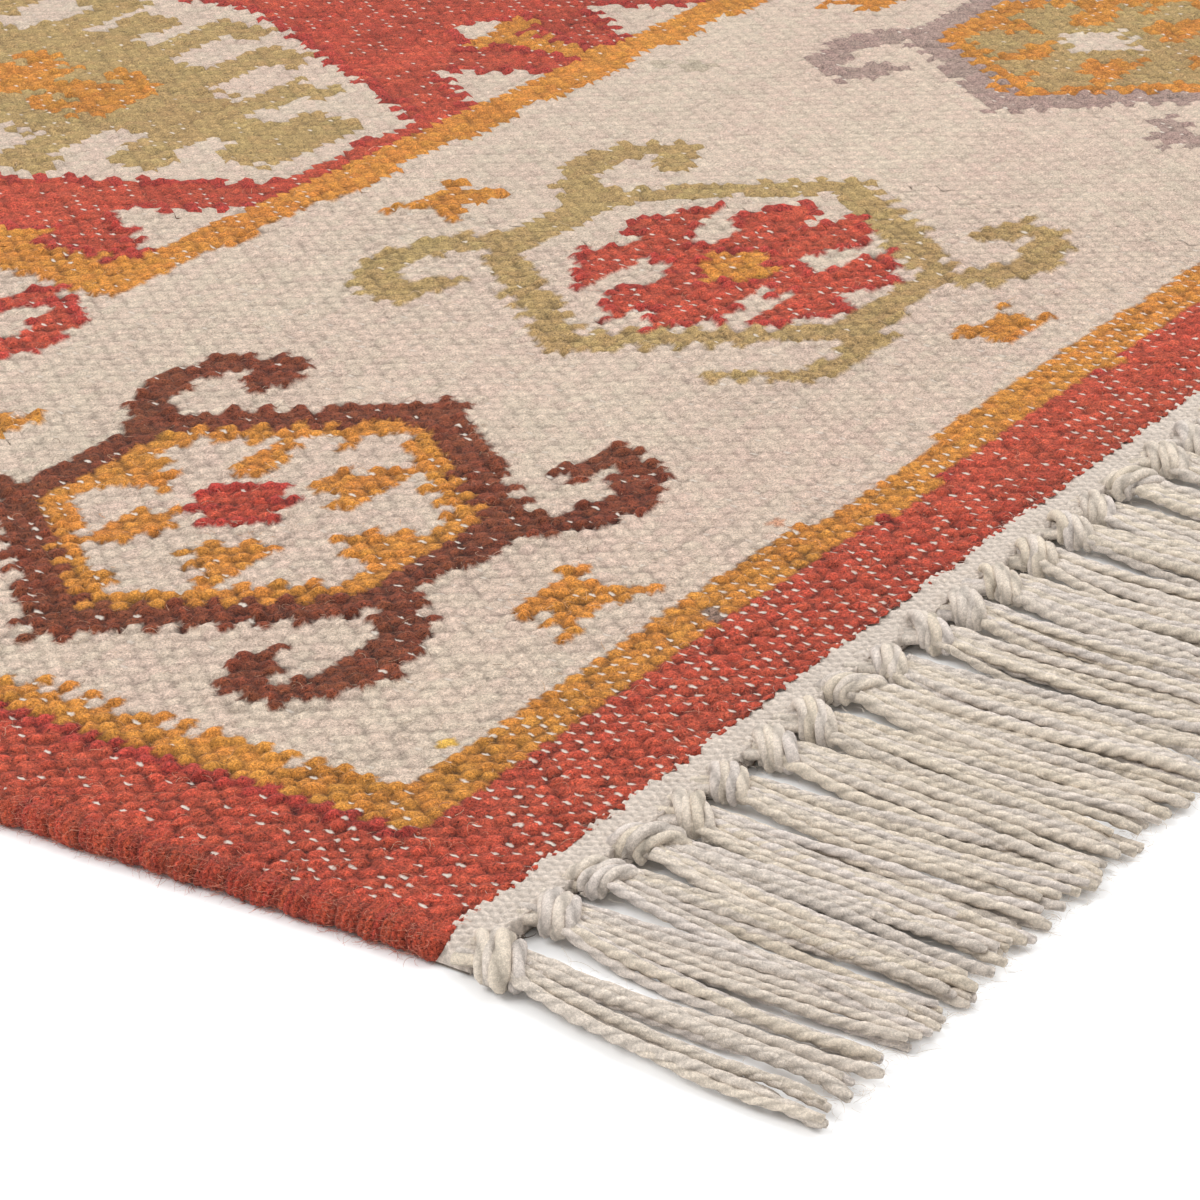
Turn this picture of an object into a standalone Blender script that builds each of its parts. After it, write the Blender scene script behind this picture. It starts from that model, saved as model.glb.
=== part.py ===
"""A kilim rug that lies flat.

Its ground is one flat tapestry weave, in wool on a cotton warp. Past the wool, each end has a
narrow plain web of cotton, and past the web the warp ends are knotted into a fringe. The two
long sides are overcast with wool, which makes a round edge.

Metres, +Z up. The rug lies on z = 0 with its length along Y and its width along X, and the
origin is under the middle of the rug.

Every piece is laid out straight first, and settle() then moves its points to where the
finished rug has them, so neighbouring pieces wander together.
"""

import math

import bmesh
import bpy

RUG_WIDTH = 1.200
RUG_LENGTH = 1.800  # over the two cotton webs, without the fringes
GAP = 0.0003  # between neighbouring pieces
BINDING_END_GAP = 0.0007  # its ends are square to its own edge, and the webs aren't quite

GROUND_THICKNESS = 0.0062
GROUND_CELLS = (20, 30)  # across and along
WEB_DEPTH = 0.0096
WEB_THICKNESS = 0.0044
BINDING_WIDTH = 0.0155
BINDING_THICKNESS = 0.0080
BINDING_ARC_STEPS = 8

# Weaving draws the sides in towards the two ends.
END_DRAW_IN = 0.0070
DRAW_IN_REACH = 0.1100

# Each edge wanders inwards in two slow waves, and what lies inside follows it less and less.
EDGE_WAVES = {
    # edge: (wavelength, depth, phase in turns) of each wave
    "left": ((0.610, 0.0012, 0.10), (0.230, 0.0003, 0.35)),
    "right": ((0.540, 0.0014, 0.60), (0.260, 0.0003, 0.15)),
    "near": ((0.470, 0.0012, 0.25), (0.190, 0.0003, 0.70)),
    "far": ((0.520, 0.0013, 0.80), (0.210, 0.0003, 0.05)),
}

FRINGE_LENGTH = 0.1060
TASSELS = 58
WEB_CELLS = TASSELS // 2
# One tassel's sections, from the web outwards. "out" is a share of the fringe's length and
# "half_width" a share of the tassels' pitch. Joined sections share their sides with the
# neighbouring tassels.
TASSEL_SECTIONS = (
    # name, out, half_width, middle_height, side_height, joined
    ("web_edge", 0.000, 0.50, 0.0042, 0.0034, True),
    ("knot", 0.095, 0.50, 0.0104, 0.0048, True),
    ("under_knot", 0.175, 0.50, 0.0070, 0.0040, True),
    ("strands", 0.450, 0.46, 0.0062, 0.0046, False),
    ("tip", 1.000, 0.47, 0.0048, 0.0036, False),
)
TIP_RAGGEDNESS = 0.0080  # how much shorter the shortest tassel is than the longest
TIP_SWAY = 0.0024  # how far a tip leans along the edge
GOLDEN_STEP = 0.618034  # spreads the tassels' lengths and leans evenly

MATERIALS = {
    # name: (colour, roughness)
    "wool_ground": ((0.56, 0.42, 0.33), 0.92),
    "wool_binding": ((0.42, 0.07, 0.05), 0.92),
    "cotton_web": ((0.66, 0.62, 0.56), 0.88),
    "cotton_fringe": ((0.62, 0.58, 0.51), 0.88),
}


def clear_scene():
    for existing in list(bpy.data.objects):
        bpy.data.objects.remove(existing, do_unlink=True)


def new_collection(name):
    collection = bpy.data.collections.new(name)
    bpy.context.scene.collection.children.link(collection)
    return collection


def material(name):
    colour, roughness = MATERIALS[name]
    made = bpy.data.materials.get(name) or bpy.data.materials.new(name)
    made.use_nodes = True
    shader = made.node_tree.nodes["Principled BSDF"]
    shader.inputs["Base Color"].default_value = (*colour, 1.0)
    shader.inputs["Roughness"].default_value = roughness
    shader.inputs["Metallic"].default_value = 0.0
    return made


def add_object(name, data, collection, material_name):
    made = bpy.data.objects.new(name, data)
    data.materials.append(material(material_name))
    collection.objects.link(made)
    return made


def mesh_from(sheet, name):
    mesh = bpy.data.meshes.new(name)
    sheet.to_mesh(mesh)
    sheet.free()
    return mesh


def inward_pull(edge, along):
    """How far an edge wanders inwards at a place along it."""
    return sum(
        depth * (0.5 - 0.5 * math.cos(2 * math.pi * (along / wavelength + phase)))
        for wavelength, depth, phase in EDGE_WAVES[edge]
    )


def settle(x, y):
    """Where a point of the straight layout lies on the finished rug."""
    to_side = x / (RUG_WIDTH / 2)
    to_end = max(-1.0, min(1.0, y / (RUG_LENGTH / 2)))
    from_end = (1 - abs(to_end)) * RUG_LENGTH / 2
    narrowing = END_DRAW_IN * math.exp(-((from_end / DRAW_IN_REACH) ** 2))
    narrowing += inward_pull("left" if x < 0 else "right", to_end * RUG_LENGTH / 2)
    shortening = inward_pull("near" if y < 0 else "far", x)
    return (
        x - to_side * abs(to_side) * narrowing,
        y - to_end * abs(to_end) * shortening,
    )


def flat_cloth(name, cells, low, high, thickness, collection, material_name):
    """A rectangle of cloth of even thickness, from low to high in the straight layout."""
    sheet = bmesh.new()
    bmesh.ops.create_grid(sheet, x_segments=cells[0], y_segments=cells[1], size=0.5)
    for vertex in sheet.verts:
        x = low[0] + (vertex.co.x + 0.5) * (high[0] - low[0])
        y = low[1] + (vertex.co.y + 0.5) * (high[1] - low[1])
        vertex.co = (*settle(x, y), 0.0)
    cloth = add_object(name, mesh_from(sheet, name), collection, material_name)
    solid = cloth.modifiers.new("thickness", "SOLIDIFY")
    solid.thickness = thickness
    solid.offset = 1.0


def ground(collection):
    """The wool weave, between the two bindings and the two webs."""
    half_width = RUG_WIDTH / 2 - BINDING_WIDTH - GAP
    half_length = RUG_LENGTH / 2 - WEB_DEPTH - GAP
    flat_cloth(
        "woven_ground",
        GROUND_CELLS,
        (-half_width, -half_length),
        (half_width, half_length),
        GROUND_THICKNESS,
        collection,
        "wool_ground",
    )


def cotton_web(name, end, collection):
    """The plain cotton web at one end, over the full width of the rug."""
    outer = end * RUG_LENGTH / 2
    inner = outer - end * WEB_DEPTH
    flat_cloth(
        name,
        (WEB_CELLS, 1),
        (-RUG_WIDTH / 2, min(inner, outer)),
        (RUG_WIDTH / 2, max(inner, outer)),
        WEB_THICKNESS,
        collection,
        "cotton_web",
    )


def binding_section(collection):
    """The guide for a binding's section: flat beside the ground, and round on its outer side."""
    radius = BINDING_THICKNESS / 2
    outline = [(0.0, GROUND_THICKNESS), (0.0, 0.0)]
    for step in range(BINDING_ARC_STEPS + 1):
        angle = math.pi * (step / BINDING_ARC_STEPS - 0.5)
        outline.append(
            (BINDING_WIDTH - radius + radius * math.cos(angle), radius + radius * math.sin(angle))
        )
    curve = bpy.data.curves.new("binding_section", "CURVE")
    spline = curve.splines.new("POLY")
    spline.points.add(len(outline) - 1)
    for point, (out, up) in zip(spline.points, reversed(outline)):
        point.co = (out, up, 0.0, 1.0)
    spline.use_cyclic_u = True
    guide = bpy.data.objects.new("binding_section", curve)
    guide.hide_render = True
    guide.display_type = "WIRE"
    collection.objects.link(guide)
    return guide


def side_binding(name, side, section, collection):
    """The wool overcasting along one side, as one round-edged strip between the webs."""
    stations = GROUND_CELLS[1] + 1
    reach = RUG_LENGTH / 2 - WEB_DEPTH - BINDING_END_GAP
    curve = bpy.data.curves.new(name, "CURVE")
    curve.dimensions = "3D"
    curve.twist_mode = "Z_UP"
    curve.bevel_mode = "OBJECT"
    curve.bevel_object = section
    curve.use_fill_caps = True
    spline = curve.splines.new("POLY")
    spline.points.add(stations - 1)
    for station, point in enumerate(spline.points):
        y = side * reach * (2 * station / (stations - 1) - 1)
        point.co = (*settle(side * (RUG_WIDTH / 2 - BINDING_WIDTH), y), 0.0, 1.0)
    add_object(name, curve, collection, "wool_binding")


def tassel_ring(comb, middle_x, section, end, tip_lean, tip_short):
    """The six points of one tassel section: left, middle and right, on top and underneath."""
    _, out, half_width, middle_height, side_height, joined = section
    pitch = RUG_WIDTH / TASSELS
    freedom = 0.0 if joined else out * out
    y = end * (RUG_LENGTH / 2 + GAP + out * (FRINGE_LENGTH - GAP) - freedom * tip_short)
    lean = freedom * tip_lean
    upper, lower = [], []
    for share, height in ((-half_width, side_height), (0.0, middle_height), (half_width, side_height)):
        place = settle(middle_x + share * pitch + lean, y)
        upper.append(comb.verts.new((*place, height)))
        lower.append(comb.verts.new((*place, 0.0)))
    return upper + lower[::-1]


def fringe(name, end, collection):
    """The knotted fringe at one end, as one comb with a tooth for each tassel."""
    comb = bmesh.new()
    pitch = RUG_WIDTH / TASSELS
    for tassel in range(TASSELS):
        spread = (tassel * GOLDEN_STEP) % 1.0
        lean = TIP_SWAY * math.sin(2 * math.pi * spread) * (0 < tassel < TASSELS - 1)
        middle_x = (tassel + 0.5) * pitch - RUG_WIDTH / 2
        rings = [
            tassel_ring(comb, middle_x, section, end, lean, TIP_RAGGEDNESS * spread)
            for section in TASSEL_SECTIONS
        ]
        for i, (ring, following) in enumerate(zip(rings, rings[1:])):
            between_joined = TASSEL_SECTIONS[i + 1][-1]
            for corner in range(6):
                beside_left = corner == 5 and between_joined and tassel > 0
                beside_right = corner == 2 and between_joined and tassel < TASSELS - 1
                if not (beside_left or beside_right):
                    after = (corner + 1) % 6
                    comb.faces.new((ring[corner], ring[after], following[after], following[corner]))
        comb.faces.new(rings[0])
        comb.faces.new(rings[-1])
    bmesh.ops.remove_doubles(comb, verts=comb.verts, dist=0.00002)
    bmesh.ops.recalc_face_normals(comb, faces=comb.faces)
    add_object(name, mesh_from(comb, name), collection, "cotton_fringe")


def main():
    clear_scene()
    rug = new_collection("kilim_rug")
    guides = new_collection("guides")
    section = binding_section(guides)
    ground(rug)
    for end, where in ((-1, "near"), (1, "far")):
        cotton_web(f"cotton_web_{where}", end, rug)
        fringe(f"fringe_{where}", end, rug)
    for side, where in ((-1, "left"), (1, "right")):
        side_binding(f"side_binding_{where}", side, section, rug)


main()
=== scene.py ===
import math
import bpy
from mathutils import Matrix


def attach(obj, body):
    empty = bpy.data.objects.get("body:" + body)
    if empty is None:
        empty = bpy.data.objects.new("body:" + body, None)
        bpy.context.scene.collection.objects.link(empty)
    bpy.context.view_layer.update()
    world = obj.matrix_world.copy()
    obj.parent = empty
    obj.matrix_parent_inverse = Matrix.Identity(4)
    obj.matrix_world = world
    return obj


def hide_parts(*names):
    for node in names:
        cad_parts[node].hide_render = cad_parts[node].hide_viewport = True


bl_info = {
    "name": "Kilim rug",
    "version": (1, 0, 0),
    "blender": (4, 5, 0),
    "location": "View3D > Sidebar > Kilim rug",
    "description": "Weaves, binds and fringes a flat wool kilim rug",
    "category": "Add Mesh",
}

import bpy
import numpy as np
from mathutils import Euler, Vector

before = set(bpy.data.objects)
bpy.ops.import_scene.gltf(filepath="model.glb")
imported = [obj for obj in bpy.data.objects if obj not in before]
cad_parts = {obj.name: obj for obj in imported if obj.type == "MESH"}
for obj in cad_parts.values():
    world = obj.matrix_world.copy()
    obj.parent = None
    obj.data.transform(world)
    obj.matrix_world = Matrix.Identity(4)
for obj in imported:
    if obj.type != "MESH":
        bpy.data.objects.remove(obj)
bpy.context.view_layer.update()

# ---- sizes, in metres
# The body's length is taken over the two webs, and the fringes lie past it.
RUG_WIDTH = 1.200
RUG_LENGTH = 1.800
GAP = 0.0003
WEB_DEPTH = 0.0096
FRINGE_LENGTH = 0.1060
TASSELS = 58
TASSEL_PITCH = RUG_WIDTH / TASSELS
END_NAMES = {-1: "near", 1: "far"}

# The sides draw in towards the ends, and each edge wanders in two slow waves: wavelength,
# depth and phase in turns. The solids wander in the same way.
END_DRAW_IN = 0.0070
DRAW_IN_REACH = 0.1100
EDGE_WAVES = {
    "left": ((0.610, 0.0012, 0.10), (0.230, 0.0003, 0.35)),
    "right": ((0.540, 0.0014, 0.60), (0.260, 0.0003, 0.15)),
    "near": ((0.470, 0.0012, 0.25), (0.190, 0.0003, 0.70)),
    "far": ((0.520, 0.0013, 0.80), (0.210, 0.0003, 0.05)),
}

# The ground's warps and weft rows. They fall into blocks, each meshed at its own fineness.
BLOCK_WARPS, BLOCK_ROWS = 19, 14
BLOCKS_ACROSS, BLOCKS_ALONG = 20, 31
WARPS = BLOCK_WARPS * BLOCKS_ACROSS
ROWS = BLOCK_ROWS * BLOCKS_ALONG
BINDING_SHOWS = 0.0095
GROUND_HALF_WIDTH = RUG_WIDTH / 2 - BINDING_SHOWS
GROUND_HALF_LENGTH = RUG_LENGTH / 2 - WEB_DEPTH - GAP
WARP_PITCH = 2 * GROUND_HALF_WIDTH / WARPS
ROW_PITCH = 2 * GROUND_HALF_LENGTH / ROWS
UNDERSIDE = 0.0004

# Widths of the borders, from the rug's sides and from its ends.
SIDE_RED, SIDE_OCHRE, SIDE_CREAM, SIDE_INNER = 0.0440, 0.0610, 0.2875, 0.3160
END_RED, END_OCHRE, END_CREAM, END_INNER = 0.0438, 0.0600, 0.3455, 0.3640

CREAM, RED, OCHRE, BROWN, SAGE, LILAC = range(6)

# Where the medallions stand: across the rug along the ends, and along it at the sides.
MEDALLIONS_ACROSS = (0.181, 0.431, 0.727, 1.012)
SIDE_MEDALLIONS = 7
MEDALLION_FROM_END = 0.198
SIDE_MEDALLION_SHIFT = 0.009
END_COLOURS = (BROWN, SAGE, LILAC, RED)
SIDE_COLOURS = (BROWN, RED, SAGE, LILAC, BROWN, SAGE, RED)

# Camera, from the near left corner of the rug's face.
CAMERA_FROM_CORNER = (-0.631, -0.463, 0.466)
CORNER = (-0.5851, -0.8981, 0.0068)
CAMERA_PITCH = 25.72
CAMERA_HEADING = 34.05
CAMERA_LENS = 115.2
SENSOR_WIDTH = 36


# ---- what a user can change
def colour_property(name, default, description):
    return bpy.props.FloatVectorProperty(
        name=name,
        description=description,
        default=default,
        size=3,
        min=0.0,
        max=1.0,
        subtype="COLOR",
    )


def length_property(name, default, description):
    return bpy.props.FloatProperty(
        name=name,
        description=description,
        default=default,
        min=0.0,
        subtype="DISTANCE",
        unit="LENGTH",
    )


class KilimColours(bpy.types.PropertyGroup):
    """Dyes of the wool and the cotton."""

    cream: colour_property("Cream", (0.620, 0.488, 0.390), "Undyed wool of the wide border")
    red: colour_property("Red", (0.470, 0.072, 0.037), "Madder red of the outer border and the field")
    ochre: colour_property("Ochre", (0.600, 0.238, 0.042), "Ochre of the stripes and small figures")
    brown: colour_property("Brown", (0.205, 0.052, 0.023), "Brown of the corner medallions")
    sage: colour_property("Sage", (0.428, 0.287, 0.120), "Sage green of medallions and field")
    lilac: colour_property("Lilac", (0.375, 0.262, 0.222), "Pale lilac of the third medallion")
    binding: colour_property("Binding", (0.378, 0.057, 0.030), "Red of the side bindings")
    web: colour_property("Web", (0.690, 0.595, 0.515), "Cotton of the end webs")
    cord: colour_property("Cord", (0.660, 0.575, 0.490), "Cotton of the knots and cords")
    warp: colour_property("Warp", (0.690, 0.610, 0.530), "Cotton warp that shows between the wefts")


class KilimSizes(bpy.types.PropertyGroup):
    """Sizes of the yarns."""

    bead: length_property("Weft relief", 0.0013, "How far a weft stands over the valleys beside it")
    ridge: length_property("Ridge", 0.0006, "How far a colour's edge stands over the rest")
    cord: length_property("Cord", 0.0035, "Thickness of a fringe cord")
    hair: length_property("Hair", 0.00013, "Thickness of a loose hair")


def sizes():
    return bpy.context.scene.kilim_sizes


def dye(name):
    return np.array(getattr(bpy.context.scene.kilim_colours, name))


def dyes():
    """The wool's colours in the order of the chart's numbers."""
    return np.array([dye(name) for name in ("cream", "red", "ochre", "brown", "sage", "lilac")])


# ---- smooth noise
def lattice_noise(a, b, seed):
    """Smooth noise from -1 to 1, one value for each pair of coordinates."""
    size = 64
    table = np.random.default_rng(seed).uniform(-1, 1, (size, size))
    a, b = np.broadcast_arrays(np.asarray(a, float), np.asarray(b, float))
    i, j = np.floor(a).astype(int), np.floor(b).astype(int)
    u, v = a - i, b - j
    u, v = u * u * (3 - 2 * u), v * v * (3 - 2 * v)
    i0, i1, j0, j1 = i % size, (i + 1) % size, j % size, (j + 1) % size
    low = table[i0, j0] * (1 - u) + table[i1, j0] * u
    high = table[i0, j1] * (1 - u) + table[i1, j1] * u
    return low * (1 - v) + high * v


# ---- the lie of the rug
def inward_pull(edge, along):
    return sum(
        depth * (0.5 - 0.5 * np.cos(2 * np.pi * (along / wavelength + phase)))
        for wavelength, depth, phase in EDGE_WAVES[edge]
    )


def settle(x, y):
    """Where points of the straight layout lie on the finished rug."""
    x, y = np.asarray(x, float), np.asarray(y, float)
    to_side = x / (RUG_WIDTH / 2)
    to_end = np.clip(y / (RUG_LENGTH / 2), -1.0, 1.0)
    from_end = (1 - np.abs(to_end)) * RUG_LENGTH / 2
    narrowing = END_DRAW_IN * np.exp(-((from_end / DRAW_IN_REACH) ** 2))
    along = to_end * RUG_LENGTH / 2
    wander = np.where(x < 0, inward_pull("left", along), inward_pull("right", along))
    narrowing = narrowing + wander
    shortening = np.where(y < 0, inward_pull("near", x), inward_pull("far", x))
    return (
        x - to_side * np.abs(to_side) * narrowing,
        y - to_end * np.abs(to_end) * shortening,
    )


# ---- shapes of the figures
def in_polygon(p, q, corners):
    """Which points lie inside a polygon."""
    inside = np.zeros(p.shape, bool)
    for (x0, y0), (x1, y1) in zip(corners, corners[1:] + corners[:1]):
        crosses = (y0 > q) != (y1 > q)
        with np.errstate(divide="ignore", invalid="ignore"):
            at = (x1 - x0) * (q - y0) / (y1 - y0) + x0
        inside ^= crosses & (p < at)
    return inside


def in_box(p, q, half_width, half_height):
    return (abs(p) < half_width) & (abs(q) < half_height)


def in_hexagon(p, q, point, rise, flat):
    """A hexagon with two points at the sides and two flats, at top and bottom."""
    return (abs(q) <= rise) & (abs(p) <= point - (point - flat) * abs(q) / rise)


def near_path(p, q, path, start_width, end_width):
    """Which points lie on a band drawn along a path, whose width changes evenly."""
    on = np.zeros(p.shape, bool)
    last = len(path) - 1
    for k, ((x0, y0), (x1, y1)) in enumerate(zip(path, path[1:])):
        dx, dy = x1 - x0, y1 - y0
        t = np.clip(((p - x0) * dx + (q - y0) * dy) / (dx * dx + dy * dy), 0, 1)
        width = start_width + (end_width - start_width) * (k + t) / last
        on |= np.hypot(p - x0 - t * dx, q - y0 - t * dy) < width / 2
    return on


# Half widths of a medallion's three nested hexagons, at the points and flats, and their rise.
MEDALLION_OUTLINE = (0.1020, 0.0770, 0.0360)
MEDALLION_RING = (0.0800, 0.0620, 0.0300)
MEDALLION_FILLING = (0.0690, 0.0520, 0.0250)
BROWN_SQUAT = 0.955
STAR_SHIFT = 0.0080
# Figures are quarters or halves, mirrored about the axes. They start just past the axis.
HOOK = (
    (0.0240, 0.0680), (0.0420, 0.0850), (0.0640, 0.0930),
    (0.0840, 0.0860), (0.0920, 0.0710), (0.0740, 0.0640),
)
THIN_HOOK = ((-0.0300, -0.0800), (-0.0560, -0.0840), (-0.0720, -0.0800), (-0.0900, -0.0550))
STAR = (
    (-0.0010, -0.0010), (-0.0010, 0.0410), (0.0160, 0.0570), (0.0300, 0.0460), (0.0490, 0.0340),
    (0.0160, 0.0300), (0.0140, 0.0190), (0.0260, 0.0150), (0.0450, 0.0270), (0.0580, 0.0170),
    (0.0720, 0.0065), (0.0500, 0.0020), (0.0500, -0.0010),
)
UPPER_LOBE = ((0.0110, 0.0200), (0.0220, 0.0300), (0.0480, 0.0310), (0.0400, 0.0180), (0.0240, 0.0150))
LOWER_LOBE = ((0.0120, -0.0210), (0.0240, -0.0010), (0.0320, 0.0000), (0.0570, -0.0240))
END_LOBE = ((-0.0010, 0.0310), (0.0060, 0.0380), (0.0150, 0.0600), (-0.0010, 0.0600))
SIDE_LOBE = ((0.0460, 0.0050), (0.0760, 0.0100), (0.0760, -0.0010), (0.0600, 0.0010))
SIDE_LOBE_SHIFT = 0.0050
BUTTERFLY = (
    (-0.0010, -0.0010), (-0.0010, 0.0110), (0.0110, 0.0110), (0.0210, 0.0180),
    (0.0250, 0.0120), (0.0160, 0.0040), (0.0160, -0.0010),
)


def draw_star(chart, p, q, colour, centre):
    """A star of eight arms round a small diamond."""
    u, v = abs(p), abs(q)
    chart[in_polygon(u, v, STAR)] = colour
    chart[(u / 0.0190 + v / 0.0150 < 1) | in_box(u, v - 0.0030, 0.0150, 0.0045)] = centre


def draw_lobes(chart, p, q, colour, centre):
    """Eight loose lobes round a small cross."""
    u = abs(p)
    chart[in_polygon(u, q, UPPER_LOBE) | in_polygon(u, q, LOWER_LOBE)] = colour
    side_lobe = in_polygon(u, q - SIDE_LOBE_SHIFT, SIDE_LOBE)
    chart[in_polygon(u, abs(q), END_LOBE) | side_lobe] = colour
    v = abs(q - 0.0060)
    bar, reach = 0.0045, 0.0165
    cross = in_box(u, v, reach, bar) | in_box(u, v, bar, reach)
    chart[cross | in_box(u, u - v, 0.0105, bar)] = centre


def draw_hooks(chart, p, q, colour, rng, thin_hook):
    """A hook at each corner of a medallion. No two are quite alike."""
    for side in (-1, 1):
        for end in (-1, 1):
            wide, tall = rng.uniform(0.94, 1.06, 2)
            path = [(x * side * wide, y * end * tall) for x, y in HOOK]
            if thin_hook and (side, end) == (-1, -1):
                chart[near_path(p, q, THIN_HOOK, 0.0140, 0.0060)] = colour
            else:
                width = rng.uniform(0.0160, 0.0180)
                chart[near_path(p, q, path, width, 0.0135)] = colour


def draw_medallion(chart, p, q, colour, seed, thin_hook=False):
    """One hooked medallion. p runs across the rug and q along it, from its centre."""
    q = q / (BROWN_SQUAT if colour == BROWN else 1.0)
    chart[in_hexagon(p, q, *MEDALLION_OUTLINE)] = colour
    draw_hooks(chart, p, q, colour, np.random.default_rng(seed), thin_hook)
    ringed = colour in (BROWN, LILAC)
    chart[in_hexagon(p, q, *MEDALLION_RING)] = OCHRE if ringed else CREAM
    if ringed:
        chart[in_hexagon(p, q, *MEDALLION_FILLING)] = CREAM if colour == BROWN else SAGE
        draw_lobes(chart, p, q, OCHRE, RED if colour == BROWN else CREAM)
    else:
        draw_star(chart, p, q + STAR_SHIFT, RED if colour == SAGE else SAGE, OCHRE)


def draw_butterfly(chart, p, q, size):
    """A small figure with a thick waist and four horns."""
    chart[in_polygon(abs(p / size), abs(q / size), BUTTERFLY)] = OCHRE


# The arms of the field's tree, by their height over the foot of its cream hexagon.
HEXAGON_HALF = 0.1635
HEXAGON = (
    (-0.002, -0.002), (0.1140, -0.002), (0.1140, 0.0300),
    (0.0920, 0.0745), (0.0410, HEXAGON_HALF), (-0.002, HEXAGON_HALF),
)
TREE_ARMS = (
    # height of the bar's middle, half width, height of the barb at its end
    (0.0200, 0.0300, 0.0290),
    (0.0620, 0.0570, 0.0520),
    (0.0980, 0.0830, 0.0860),
    (0.1360, 0.1040, 0.1240),
    (0.1640, 0.0900, 0.1600),
)
TREE_TRUNK = (
    # from this height up, half width
    (0.0200, 0.0110),
    (0.0400, 0.0140),
    (0.0620, 0.0270),
    (0.0980, 0.0480),
    (0.1360, 0.0600),
)
TREE_BAR = 0.0085
FLOWER_STEP = 0.0445


def draw_field_figure(chart, p, q):
    """A long cream hexagon that holds a stepped sage tree of arms and three ochre flowers."""
    u, v = abs(p), abs(q)
    height = HEXAGON_HALF - v
    hexagon = in_polygon(u, v, HEXAGON)
    chart[hexagon] = CREAM
    tree = np.zeros(chart.shape, bool)
    for start, half_width in TREE_TRUNK:
        tree |= (height > start) & (u < half_width)
    for middle, half_width, barb in TREE_ARMS:
        tree |= in_box(u, height - middle, half_width, TREE_BAR)
        tree |= in_box(u - half_width + TREE_BAR, height - barb, TREE_BAR, TREE_BAR)
    chart[tree & hexagon] = SAGE
    for k in (-1, 0, 1):
        w = q - k * FLOWER_STEP
        flower = in_box(u, w, 0.0200, 0.0175) | in_box(u - 0.0200, w - 0.0090, 0.0085, 0.0080)
        flower |= in_box(u, w + 0.0040, 0.0240, 0.0060)
        flower &= ~((u > 0.0110) & (w > 0.0040) & (u < 0.0150))
        chart[flower] = OCHRE
    chart[in_box(u, v, 0.0060, FLOWER_STEP)] = OCHRE


def draw_field(chart, x, y):
    """The red field with its figures, the stems between them and the small triangles."""
    half_width = (RUG_WIDTH - SIDE_CREAM - SIDE_INNER) / 4
    half_length = (RUG_LENGTH - END_CREAM - END_INNER) / 6
    for column in (-1, 1):
        for row in (-2, 0, 2):
            p, q = x - column * half_width, y - row * half_length
            u, v = abs(p), abs(q)
            part = np.full(chart.shape, RED)
            draw_field_figure(part, p, q)
            foot, edge = half_length - v, half_width - u
            part[(foot < 0.0490) & (abs(u - 0.0960) < 0.0310 * (1 - foot / 0.0490))] = CREAM
            part[(foot < 0.0620) & (edge < 0.0080)] = OCHRE
            part[(abs(foot - 0.0560) < 0.0060) & (edge < 0.0225)] = OCHRE
            head = 0.0160 * (0.0785 - foot) / 0.0170
            part[(abs(foot - 0.0700) < 0.0085) & (edge < head)] = CREAM
            cell = (u <= half_width) & (v <= half_length)
            chart[cell] = part[cell]


def stamp(chart, p, q, reach, draw, *details):
    """Draws one figure on the part of the chart that lies within its reach."""
    near = in_box(p, q, *reach)
    part = chart[near]
    draw(part, p[near], q[near], *details)
    chart[near] = part


def draw_border(chart, px, qy):
    """The medallions and butterflies of one end, and the medallions of the side to its left."""
    across = px + RUG_WIDTH / 2
    for k, colour in enumerate(END_COLOURS):
        p = across - MEDALLIONS_ACROSS[k]
        q = qy + RUG_LENGTH / 2 - MEDALLION_FROM_END
        stamp(chart, p, q, (0.13, 0.12), draw_medallion, colour, 40 + k, k == 1)
        stamp(chart, p, q + 0.1110, (0.03, 0.03), draw_butterfly, 0.85 if k == 0 else 0.72)
        if k < 3:
            stamp(chart, p, q - 0.1130, (0.03, 0.03), draw_butterfly, 0.86)
    step = (RUG_LENGTH - 2 * MEDALLION_FROM_END) / (SIDE_MEDALLIONS - 1)
    p = across - MEDALLIONS_ACROSS[0]
    for k in range(1, SIDE_MEDALLIONS - 1):
        q = qy + RUG_LENGTH / 2 - MEDALLION_FROM_END - SIDE_MEDALLION_SHIFT - k * step
        stamp(chart, p, q, (0.12, 0.11), draw_medallion, SIDE_COLOURS[k], 60 + k)


def draw_chart():
    """The yarn colour at each crossing of a warp and a weft row."""
    rng = np.random.default_rng(11)
    i, j = np.meshgrid(np.arange(WARPS + 1), np.arange(ROWS + 1), indexing="ij")
    # Two yarns that meet along a warp take turns round it, so each edge is a row of teeth.
    teeth = 0.62 * np.where(j % 2 == 0, 1, -1) + rng.uniform(-0.25, 0.25, (1, ROWS + 1))
    x = (i + teeth) * WARP_PITCH - GROUND_HALF_WIDTH
    y = (j + 0.35 * lattice_noise(i / 7, j / 5, 3)) * ROW_PITCH - GROUND_HALF_LENGTH
    x = x + 0.0012 * lattice_noise(i / 16, j / 9, 4)
    y = y + 0.0016 * lattice_noise(i / 13, j / 17, 5)
    from_side = RUG_WIDTH / 2 - abs(x)
    from_end = RUG_LENGTH / 2 - abs(y)
    chart = np.full(x.shape, RED)
    draw_field(chart, x, y)
    chart[(from_side < SIDE_INNER) | (from_end < END_INNER)] = OCHRE
    chart[(from_side < SIDE_CREAM) | (from_end < END_CREAM)] = CREAM
    # The far half is the near half turned round, as on the loom's cartoon.
    for turn in (1, -1):
        draw_border(chart, x * turn, y * turn)
    chart[(from_side < SIDE_OCHRE) | (from_end < END_OCHRE)] = OCHRE
    chart[(from_side < SIDE_RED) | (from_end < END_RED)] = RED
    return chart


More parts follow.
